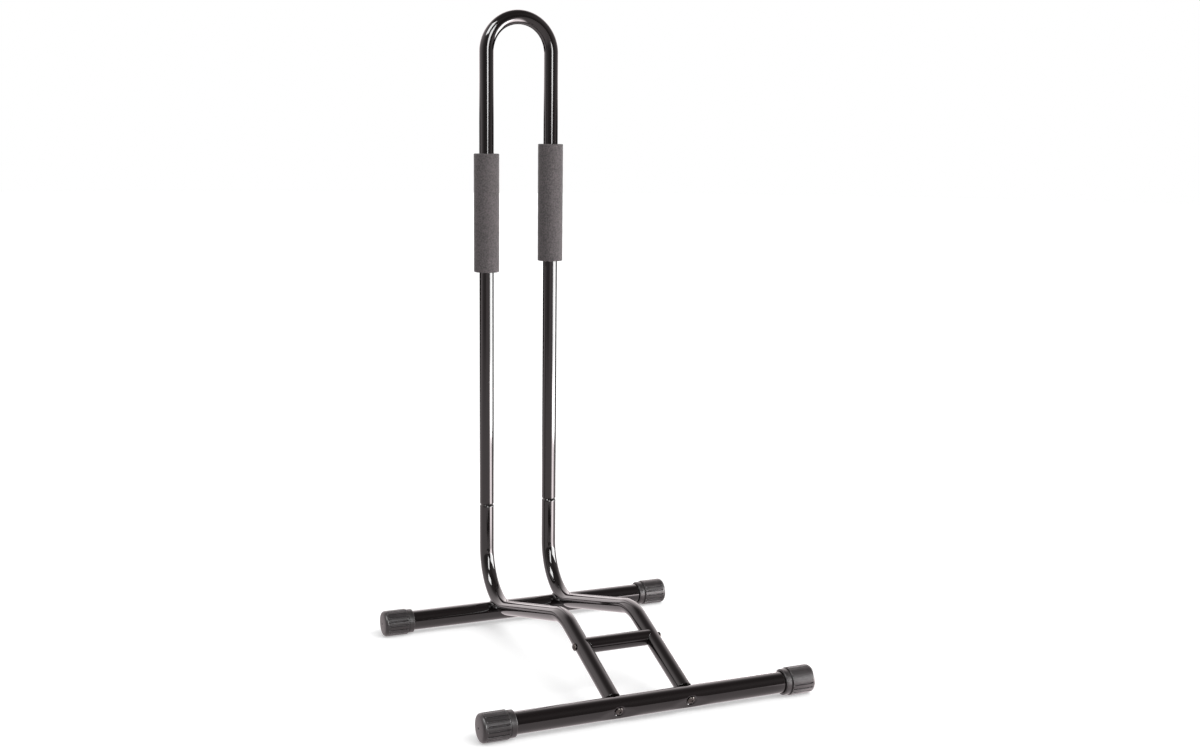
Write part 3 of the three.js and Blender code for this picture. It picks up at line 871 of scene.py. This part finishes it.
class RACK_OT_welds(bpy.types.Operator):
    """Lays the weld beads between the lower tubes and the rear foot"""

    bl_idname = "rack.welds"
    bl_label = "Welds"

    def execute(self, context):
        for side, sign in SIDES.items():
            grid = self.bead(sign * tubes().leg_spacing / 2)
            bead = surface(f"weld_bead_{side}", grid)
            dress(bead, gloss_black_powder_coat(), "black_paint", "base", f"rear_weld_{side}")
        return {"FINISHED"}

    def bead(self, x):
        """A round bead along the line where the tube's and the foot's skins cross, rippled by
        1 + 0.14 |cos(pi s / pitch)|. The line is found by halving, at each angle round the
        saddle, where the tube's skin is as far down as the foot's is up."""
        t = tubes()
        heel = heel_circle()
        radius = t.foot_diameter / 2
        bottom = float(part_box("rear_foot")[0][2])
        foot = box_centre("rear_foot") * [0, 1, 0] + [x, 0, bottom + radius]
        up = np.array([0, -math.sin(t.saddle_angle), math.cos(t.saddle_angle)])
        ahead = np.array([0, math.cos(t.saddle_angle), math.sin(t.saddle_angle)])
        turn = around(180)
        low, high = np.full(180, 2 * MM), np.full(180, t.tube_diameter / 2)
        bend_height = (heel - foot) @ up
        for _ in range(30):
            out = (low + high) / 2
            across, along = out * np.cos(turn), out * np.sin(turn)
            foot_top = np.sqrt(radius**2 - along**2)
            sag = np.sqrt(np.maximum((t.tube_diameter / 2) ** 2 - across**2, 0))
            tube_bottom = bend_height - np.sqrt((t.heel_radius + sag) ** 2 - along**2)
            inside = foot_top > tube_bottom
            low, high = np.where(inside, out, low), np.where(inside, high, out)
        side = np.array([1.0, 0, 0])
        line = foot + across[:, None] * side + along[:, None] * ahead + foot_top[:, None] * up
        middle = line.mean(0)
        tangent = np.roll(line, -1, 0) - np.roll(line, 1, 0)
        tangent /= np.linalg.norm(tangent, axis=1, keepdims=True)
        outwards = line - middle
        outwards -= np.sum(outwards * tangent, 1, keepdims=True) * tangent
        outwards /= np.linalg.norm(outwards, axis=1, keepdims=True)
        second = np.cross(tangent, outwards)
        way = np.concatenate([[0], np.cumsum(np.linalg.norm(np.diff(line, axis=0), axis=1))])
        length = way[-1] + np.linalg.norm(line[0] - line[-1])
        ripples = round(length / t.weld_pitch)
        section = around(20)
        lag = 0.9 * np.cos(section)
        swell = 1 + 0.14 * np.abs(np.cos(np.pi * ripples * way[:, None] / length + lag))
        size = t.weld_width / 2 * swell
        centres = line + 0.25 * t.weld_width * outwards
        return (
            centres[:, None]
            + (size * np.cos(section))[..., None] * outwards[:, None]
            + (size * np.sin(section))[..., None] * second[:, None]
        )


class RACK_OT_brace(bpy.types.Operator):
    """Copes the cross brace between the lower tubes"""

    bl_idname = "rack.brace"
    bl_label = "Cross brace"

    def execute(self, context):
        brace = surface("cross_brace_tube", self.wall())
        dress(brace, gloss_black_powder_coat(), "black_paint", "base", "cross_brace")
        return {"FINISHED"}

    def wall(self):
        """Rings along the outside and back along the bore. Each point of an end ring stops where it
        meets the lower tube: half the leg spacing less sqrt((R + gap)^2 - e^2), for a point e
        across the tube's run."""
        t = tubes()
        outer, bore = t.tube_diameter / 2, t.tube_diameter / 2 - t.wall
        centre = box_centre("cross_brace") * [0, 1, 1]
        _, _, _, up = drop_line()
        angles = around(96)
        setback, inset = long_lip(t.tube_edge)
        radii = np.concatenate([outer - inset, [outer], outer - inset[::-1]])
        inner = np.concatenate([bore + inset, [bore], bore + inset[::-1]])
        back = np.concatenate([setback, [0], setback[::-1]])
        side = np.concatenate([-np.ones(len(inset)), [0], np.ones(len(inset))])
        radii, back = np.concatenate([radii, inner[::-1]]), np.concatenate([back, back])
        side = np.concatenate([side, side[::-1]])
        y, z = radii[:, None] * np.cos(angles), radii[:, None] * np.sin(angles)
        across = y * up[1] + z * up[2]
        reach = t.leg_spacing / 2 - np.sqrt(np.maximum((outer + t.gap) ** 2 - across**2, 0))
        x = side[:, None] * (reach - back[:, None])
        return np.stack([x, y, z], -1) + centre


class RACK_OT_screws(bpy.types.Operator):
    """Makes the button head screws with their hexagon sockets"""

    bl_idname = "rack.screws"
    bl_label = "Screws"

    def execute(self, context):
        t = tubes()
        _, end, ahead, _ = drop_line()
        seat = end + (surface_reach() - t.seat_depth + t.gap) * ahead
        brace_axis = box_centre("cross_brace") * [0, 1, 1]
        for side, sign in SIDES.items():
            x = sign * t.leg_spacing / 2
            brace_seat = brace_axis + [x + sign * (t.tube_diameter / 2 + t.gap), 0, 0]
            for kind, place, axis in (
                ("foot", seat + [x, 0, 0], ahead),
                ("brace", brace_seat, (sign, 0, 0)),
            ):
                grid = place_along(self.shape(), axis, place)
                name = f"{kind}_button_screw_{side}"
                screw = surface(name, grid, closed=False, sharp=math.radians(30))
                dress(screw, black_oxide_steel(), "black_steel", "base", f"{kind}_screw_{side}")
        return {"FINISHED"}

    def shape(self):
        """Rows from the middle of the socket's floor, up its hexagon wall, over the crown and down
        the shank. A hexagon is across / 2 / cos(a - 60 round(a / 60)), and the crown is an arc."""
        f = fittings()
        angles = around(96)
        sixth = np.pi / 3
        hexagon = f.socket_size / 2 / np.cos(angles - sixth * np.round(angles / sixth))
        head, height = f.head_diameter / 2, f.head_height
        rim = 0.7 * MM
        crown = height - rim
        ball = (head**2 + crown**2) / (2 * crown)
        shank = f.screw_diameter / 2
        floor = height - f.socket_depth
        ring = np.ones_like(angles)
        first = f.socket_size / 2 * 1.32
        top = height - ball + math.sqrt(ball**2 - first**2)
        rows = [
            (0 * hexagon, floor - 0.25 * MM),
            (0.93 * hexagon, floor),
            (hexagon, floor + 0.1 * MM),
            (hexagon, top - 0.25 * MM),
            (hexagon + 0.04 * MM, top - 0.08 * MM),
            (first * ring, top),
        ]
        start, stop = math.asin(first / ball), math.asin((head - 0.12 * MM) / ball)
        for a in np.linspace(start, stop, 9)[1:]:
            rows += [(ball * math.sin(a) * ring, height - ball + ball * math.cos(a))]
        rows += [
            (head * ring, rim - 0.25 * MM),
            (head * ring, 0.2 * MM),
            ((head - 0.2 * MM) * ring, 0.0),
            ((shank + 0.3 * MM) * ring, 0.0),
            (shank * ring, -0.3 * MM),
        ]
        # The thread is hidden, so it is drawn as rings.
        pitch = f.thread_pitch
        for turn in np.arange(4 * pitch, f.screw_length - 1.2 * MM, pitch):
            rows += [(shank * ring, -turn), ((shank - 0.35 * MM) * ring, -turn - pitch / 2)]
        rows += [
            (shank * ring, 0.8 * MM - f.screw_length),
            ((shank - 0.6 * MM) * ring, -f.screw_length),
            (0 * ring, -f.screw_length),
        ]
        return revolve(np.array([r for r, _ in rows]), np.array([h for _, h in rows]), angles)


class RACK_OT_caps(bpy.types.Operator):
    """Moulds the four ribbed end caps"""

    bl_idname = "rack.caps"
    bl_label = "End caps"

    # Where the plain panel starts, in flutes from the underside.
    panel_turns = {
        ("front", "left"): 12,
        ("front", "right"): 10,
        ("rear", "left"): 11,
        ("rear", "right"): 8,
    }

    def execute(self, context):
        for (foot, side), turn in self.panel_turns.items():
            node = f"end_cap_{foot}_{side}"
            cap = surface(f"cap_{foot}_{side}", self.shape(node, SIDES[side], turn), closed=False)
            dress(cap, moulded_polypropylene(), "cap_plastic", "base", node)
        return {"FINISHED"}

    def profile(self):
        """Radius and distance from the mouth, from the socket's floor out over the mouth, collar,
        groove and body to the dimple in the middle of the end face."""
        f, t = fittings(), tubes()
        length, radius = f.cap_length, f.cap_diameter / 2
        socket = t.foot_diameter / 2 + t.gap
        collar, groove = f.collar_diameter / 2, f.groove_diameter / 2
        body = f.collar_length + f.groove_length
        corners = [
            (0, length - f.cap_end),
            (socket, length - f.cap_end),
            (socket, 0),
            (collar, 0),
            (collar, f.collar_length),
            (groove, f.collar_length),
            (groove, body),
            (radius, body),
            (radius, length - 1.0 * MM),
            (0.55 * radius, length - 0.25 * MM),
            (1.5 * MM, length),
            (1.2 * MM, length - 1.1 * MM),
            (0, length - 1.1 * MM),
        ]
        fillets = [0.6, 0.35, 1.0, 0.35, 0.3, 0.3, 0.8, 4.0, 40.0, 0.25, 0.25]
        steps = [9, 40, 2, 7, 1, 1, 1, 0.6, 4, 4, 1, 1]
        return rounded_profile(corners, [r * MM for r in fillets], [s * MM for s in steps])

    def shape(self, node, sign, panel_turn):
        """The profile turned round the foot's axis. Each flute takes its depth off the radius where
        |radius * angle| is under half its width, between its ends. The sole is cut flat."""
        f = fittings()
        radii, along = self.profile()
        angles = around(20 * f.flute_count)
        low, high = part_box(node)
        centre = np.array([0, box_centre(node)[1], 0])
        centre[2] = f.cap_diameter / 2 - f.sole
        start = f.collar_length + 2.2 * MM
        end = f.cap_length - 6 * MM
        # Flutes count from the underside, and run the other way round on the left caps.
        below = angles + np.pi / 2
        step = 2 * np.pi / f.flute_count
        turn = (sign * below / step) % f.flute_count
        place = (turn - panel_turn - 0.5) % f.flute_count
        off = np.abs(place - np.round(place)) * step * f.cap_diameter / 2
        cut = np.round(place) % f.flute_count >= f.panel_flutes
        half = f.flute_width / 2
        across = smooth_step(off, half + 0.15 * MM, half - 0.45 * MM) * cut
        starts = smooth_step(along, start - 0.3 * MM, start + 0.5 * MM)
        ends = smooth_step(along, end + 0.9 * MM, end - 0.5 * MM)
        outside = radii > 0.9 * f.cap_diameter / 2
        radius = radii[:, None] - f.flute_depth * (starts * ends * outside)[:, None] * across
        mouth = high[0] - f.cap_length if sign > 0 else low[0] + f.cap_length
        x = mouth + sign * along[:, None] * np.ones(len(angles))
        z = np.maximum(radius * np.sin(angles) + centre[2], 0)
        return np.stack([x, radius * np.cos(angles) + centre[1], z], -1)


class RACK_OT_inserts(bpy.types.Operator):
    """Finishes the threaded inserts, which keep their own solids"""

    bl_idname = "rack.inserts"
    bl_label = "Inserts"

    def execute(self, context):
        for kind, material in (("brace", zinc_plated_steel()), ("foot", black_oxide_steel())):
            for side in SIDES:
                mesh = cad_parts[f"{kind}_insert_{side}"].data
                mesh.materials.clear()
                mesh.materials.append(material)
        return {"FINISHED"}


WHITE = (1.0, 1.0, 1.0, 1.0)
SMOOTH = {"interpolation_type": "SMOOTHSTEP"}


class RACK_OT_stage(bpy.types.Operator):
    """Sets up the camera, the pale floor, the lamps and the surroundings"""

    bl_idname = "rack.stage"
    bl_label = "Studio"

    def execute(self, context):
        studio = context.scene.rack_studio
        self.camera(context, studio)
        self.floor(studio)
        self.lamps(studio)
        self.surroundings(context, studio)
        context.scene.view_settings.view_transform = "Standard"
        return {"FINISHED"}

    def camera(self, context, studio):
        """Looks along (cos f sin t, cos f cos t, -sin f) for a turn t and fall f."""
        fall, roll = studio.camera_fall, studio.camera_roll
        level, right = (np.array(v) for v in self.bearings(studio))
        ahead = math.cos(fall) * level - [0, 0, math.sin(fall)]
        up = np.cross(right, ahead)
        rolled = math.cos(roll) * right + math.sin(roll) * up
        upright = math.cos(roll) * up - math.sin(roll) * right
        lens = bpy.data.cameras.new("studio_camera")
        lens.sensor_width, lens.lens = 36.0, studio.lens
        lens.clip_end = 60
        context.scene.camera = link("studio_camera", lens)
        stand(context.scene.camera, (rolled, upright, -ahead), studio.camera_place)

    def floor(self, studio):
        """A round floor, lit to just under white and lifted to white for the camera, so that only
        the rack's shadow shows on it. Gloss sees a white table that fades with distance, ends
        behind the rack, and has a bright pool of light at the right."""
        radii = np.linspace(0, 14, 15)
        # The floor lies 0.2 mm under the soles, so that their faces don't share a plane.
        grid = revolve(radii, 0 * radii - 0.2 * MM, around(64))
        mesh = bpy.data.meshes.new("studio_floor")
        faces = grid_faces(*grid.shape[:2], False)
        mesh.from_pydata(grid.reshape(-1, 3).tolist(), [], faces.tolist())
        link("studio_floor", mesh)
        material = bpy.data.materials.new("pale_floor_paint")
        mesh.materials.append(material)
        tree, surface = empty_tree(material, "Material")
        material.cycles.emission_sampling = "NONE"
        add = partial(add_node, tree)
        ray = add("LightPath").outputs
        paint = add("BsdfDiffuse", {"Color": studio.floor})
        lift = add("Emission", {"Color": WHITE, "Strength": studio.floor_lift})

        place = add("TexCoord").outputs["Object"]
        foot = add("VectorMath", (place, (0, LEG_DEPTH, 0)), operation="SUBTRACT")
        away = add("VectorMath", (foot,), operation="LENGTH").outputs["Value"]
        back, aside = self.view(add, studio, foot)
        level = [add("Math", (part, away), operation="DIVIDE") for part in (back, aside)]
        near = add("MapRange", (aside, -0.6, 0.3, 0.4, 1.0), **SMOOTH)
        far = add("Math", (self.wall(add, studio, *level), near), operation="MAXIMUM")
        distance = add("MapRange", (away, 0.9, 3.6, 0.0, 1.0), **SMOOTH)
        table = add("Mix", {0: distance, 2: studio.table, 3: far})
        edge = add("MapRange", (back, 0.84, 0.96, 1.0, 0.01), **SMOOTH)
        table = add("Math", (table, edge), operation="MULTIPLY")
        front = add("Math", (back, -1.0), operation="MULTIPLY")
        bearing = add("Math", (aside, front), operation="ARCTAN2")
        turns = [math.radians(turn) for turn in (44, 66, 80, 100)]
        pool = add("MapRange", (bearing, *turns[:2], 0.0, studio.pool), **SMOOTH)
        for limits in (
            (bearing, *turns[2:], 1.0, 0.0),
            (away, 0.15, 0.5, 0.0, 1.0),
            (away, 1.8, 2.5, 1.0, 0.0),
        ):
            pool = add("Math", (pool, add("MapRange", limits, **SMOOTH)), operation="MULTIPLY")
        glow = add("Math", (table, pool), operation="ADD")
        mirrored = add("Emission", {"Color": studio.table_tint, "Strength": glow})

        seen = add("MixShader", (ray["Is Glossy Ray"], add("AddShader", (paint, lift)), mirrored))
        whole = add("MixShader", (ray["Is Diffuse Ray"], seen, paint))
        tree.links.new(whole.outputs[0], surface)

    def bearings(self, studio):
        """Level directions away from the camera and to its right."""
        turn = studio.camera_turn
        return (math.sin(turn), math.cos(turn), 0.0), (math.cos(turn), -math.sin(turn), 0.0)

    def view(self, add, studio, place):
        """How far a place lies away from the camera, and to its right."""
        return [
            add("VectorMath", (place, axis), operation="DOT_PRODUCT").outputs["Value"]
            for axis in self.bearings(studio)
        ]

    def wall(self, add, studio, back, aside):
        """What gloss sees level with the rack: bright at the left and behind it, a dark room in
        front of it, darkest at the right."""
        level = add("MapRange", (back, -0.95, 0.0, studio.room, studio.wall), **SMOOTH)
        right = add("MapRange", (aside, 0.1, 0.6, 1.0, 0.4), **SMOOTH)
        return add("Math", (level, right), operation="MULTIPLY")

    def lamps(self, studio):
        """A wide soft sun from the camera's right, and three softboxes that only gloss shows: a
        long one that leans in at the camera's right hand, one high at the camera's left hand,
        and a low one at the rack's right. Each line gives a softbox's bottom, top and width."""
        data = bpy.data.lights.new("studio_sun", "SUN")
        data.energy, data.angle = studio.sun, math.radians(50)
        sun = link("studio_sun", data)
        sun.visible_glossy = False
        sun.rotation_euler = (math.radians(42), 0, math.radians(62) - studio.camera_turn)
        for name, bottom, top, width in (
            ("long_softbox", (27, 3.3, 0.6), (7, 3.2, 2.6), 0.9),
            ("high_softbox", (-40, 2.6, 2.5), (-40, 1.6, 3.6), 1.6),
            ("low_softbox", (84, 1.2, 0.0), (84, 1.2, 0.46), 1.15),
        ):
            self.softbox(name, studio, bottom, top, width)

    def softbox(self, name, studio, bottom, top, width):
        """A flat lamp between the middles of its bottom and top edges, facing the rack. Each is
        given by its bearing from the uprights in degrees, counted from the camera's side towards
        its right, by its distance from them, and by its height. Its power is radiance pi area."""
        ahead, right = (np.array(v) for v in self.bearings(studio))
        ends = [
            away * (math.sin(math.radians(turn)) * right - math.cos(math.radians(turn)) * ahead)
            + [0, LEG_DEPTH, height]
            for turn, away, height in (bottom, top)
        ]
        middle = (ends[0] + ends[1]) / 2
        length = float(np.linalg.norm(ends[1] - ends[0]))
        up = (ends[1] - ends[0]) / length
        aim = middle - [0, LEG_DEPTH, 0.4]
        aim = unit(aim - (aim @ up) * up)
        data = bpy.data.lights.new(name, "AREA")
        data.shape, data.size, data.size_y = "RECTANGLE", width, length
        data.energy = studio.strip * math.pi * width * length
        lamp = link(name, data)
        stand(lamp, (np.cross(up, aim), up, aim), middle)
        lamp.visible_camera = lamp.visible_diffuse = False

    def surroundings(self, context, studio):
        """White for the camera, and even soft light on everything. Gloss sees a white backdrop
        behind the rack, a white wall at the left, a dark room behind the camera and a dark
        ceiling, and nothing below the horizon past the table."""
        world = bpy.data.worlds.new("studio_surroundings")
        context.scene.world = world
        tree, surface = empty_tree(world, "World")
        world.cycles.sampling_method = "NONE"
        add = partial(add_node, tree)
        ray = add("LightPath").outputs
        place = add("TexCoord").outputs["Generated"]
        back, aside = self.view(add, studio, place)
        height = add("SeparateXYZ", (place,)).outputs["Z"]
        cloth = add("MapRange", (back, 0.3, 0.9, 0.0, studio.backdrop - studio.wall), **SMOOTH)
        level = add("Math", (self.wall(add, studio, back, aside), cloth), operation="ADD")
        ceiling = add("MapRange", (height, 0.55, 0.95, 1.0, 0.18), **SMOOTH)
        horizon = add("MapRange", (height, 0.0, 0.03, 0.03, 1.0), **SMOOTH)
        front = add("MapRange", (back, 0.2, 0.4, 1.0, 0.0), **SMOOTH)
        below = add("Math", (horizon, front), operation="MAXIMUM")
        for factor in (ceiling, below):
            level = add("Math", (level, factor), operation="MULTIPLY")
        ambient = (back, -1.0, 0.6, 0.5 * studio.ambient, 1.4 * studio.ambient)
        soft = add("Background", (WHITE, add("MapRange", ambient, **SMOOTH)))
        mirrored = add("Background", (studio.wall_tint, level))
        lit = add("MixShader", (ray["Is Glossy Ray"], soft, mirrored))
        whole = add("MixShader", (ray["Is Camera Ray"], lit, add("Background", (WHITE, 1.0))))
        tree.links.new(whole.outputs[0], surface)


# ---------------------------------------------------------------- panel and registering


class RACK_PT_panel(bpy.types.Panel):
    """Lists the rack's groups of pieces and its sizes"""

    bl_idname = "RACK_PT_panel"
    bl_label = "Floor Bike Rack"
    bl_space_type = "VIEW_3D"
    bl_region_type = "UI"
    bl_category = "Bike Rack"

    def draw(self, context):
        for operator in OPERATORS:
            self.layout.operator(operator.bl_idname)
        for group in GROUPS:
            settings = getattr(context.scene, group)
            for name in settings.bl_rna.properties.keys():
                if name not in ("rna_type", "name"):
                    self.layout.prop(settings, name)


GROUPS = {
    "rack_tubes": RackTubes,
    "rack_fittings": RackFittings,
    "rack_finishes": RackFinishes,
    "rack_studio": RackStudio,
}
OPERATORS = (
    RACK_OT_stage,
    RACK_OT_hoop,
    RACK_OT_sleeves,
    RACK_OT_lower_tubes,
    RACK_OT_feet,
    RACK_OT_welds,
    RACK_OT_brace,
    RACK_OT_screws,
    RACK_OT_caps,
    RACK_OT_inserts,
)


def register():
    for entry in (*GROUPS.values(), *OPERATORS, RACK_PT_panel):
        bpy.utils.register_class(entry)
    for name, group in GROUPS.items():
        setattr(bpy.types.Scene, name, bpy.props.PointerProperty(type=group))


def unregister():
    for name in GROUPS:
        delattr(bpy.types.Scene, name)
    for entry in (RACK_PT_panel, *OPERATORS[::-1], *reversed(GROUPS.values())):
        bpy.utils.unregister_class(entry)


def main():
    register()
    for operator in OPERATORS:
        getattr(bpy.ops.rack, operator.bl_idname.removeprefix("rack."))()


if __name__ == "__main__":
    main()
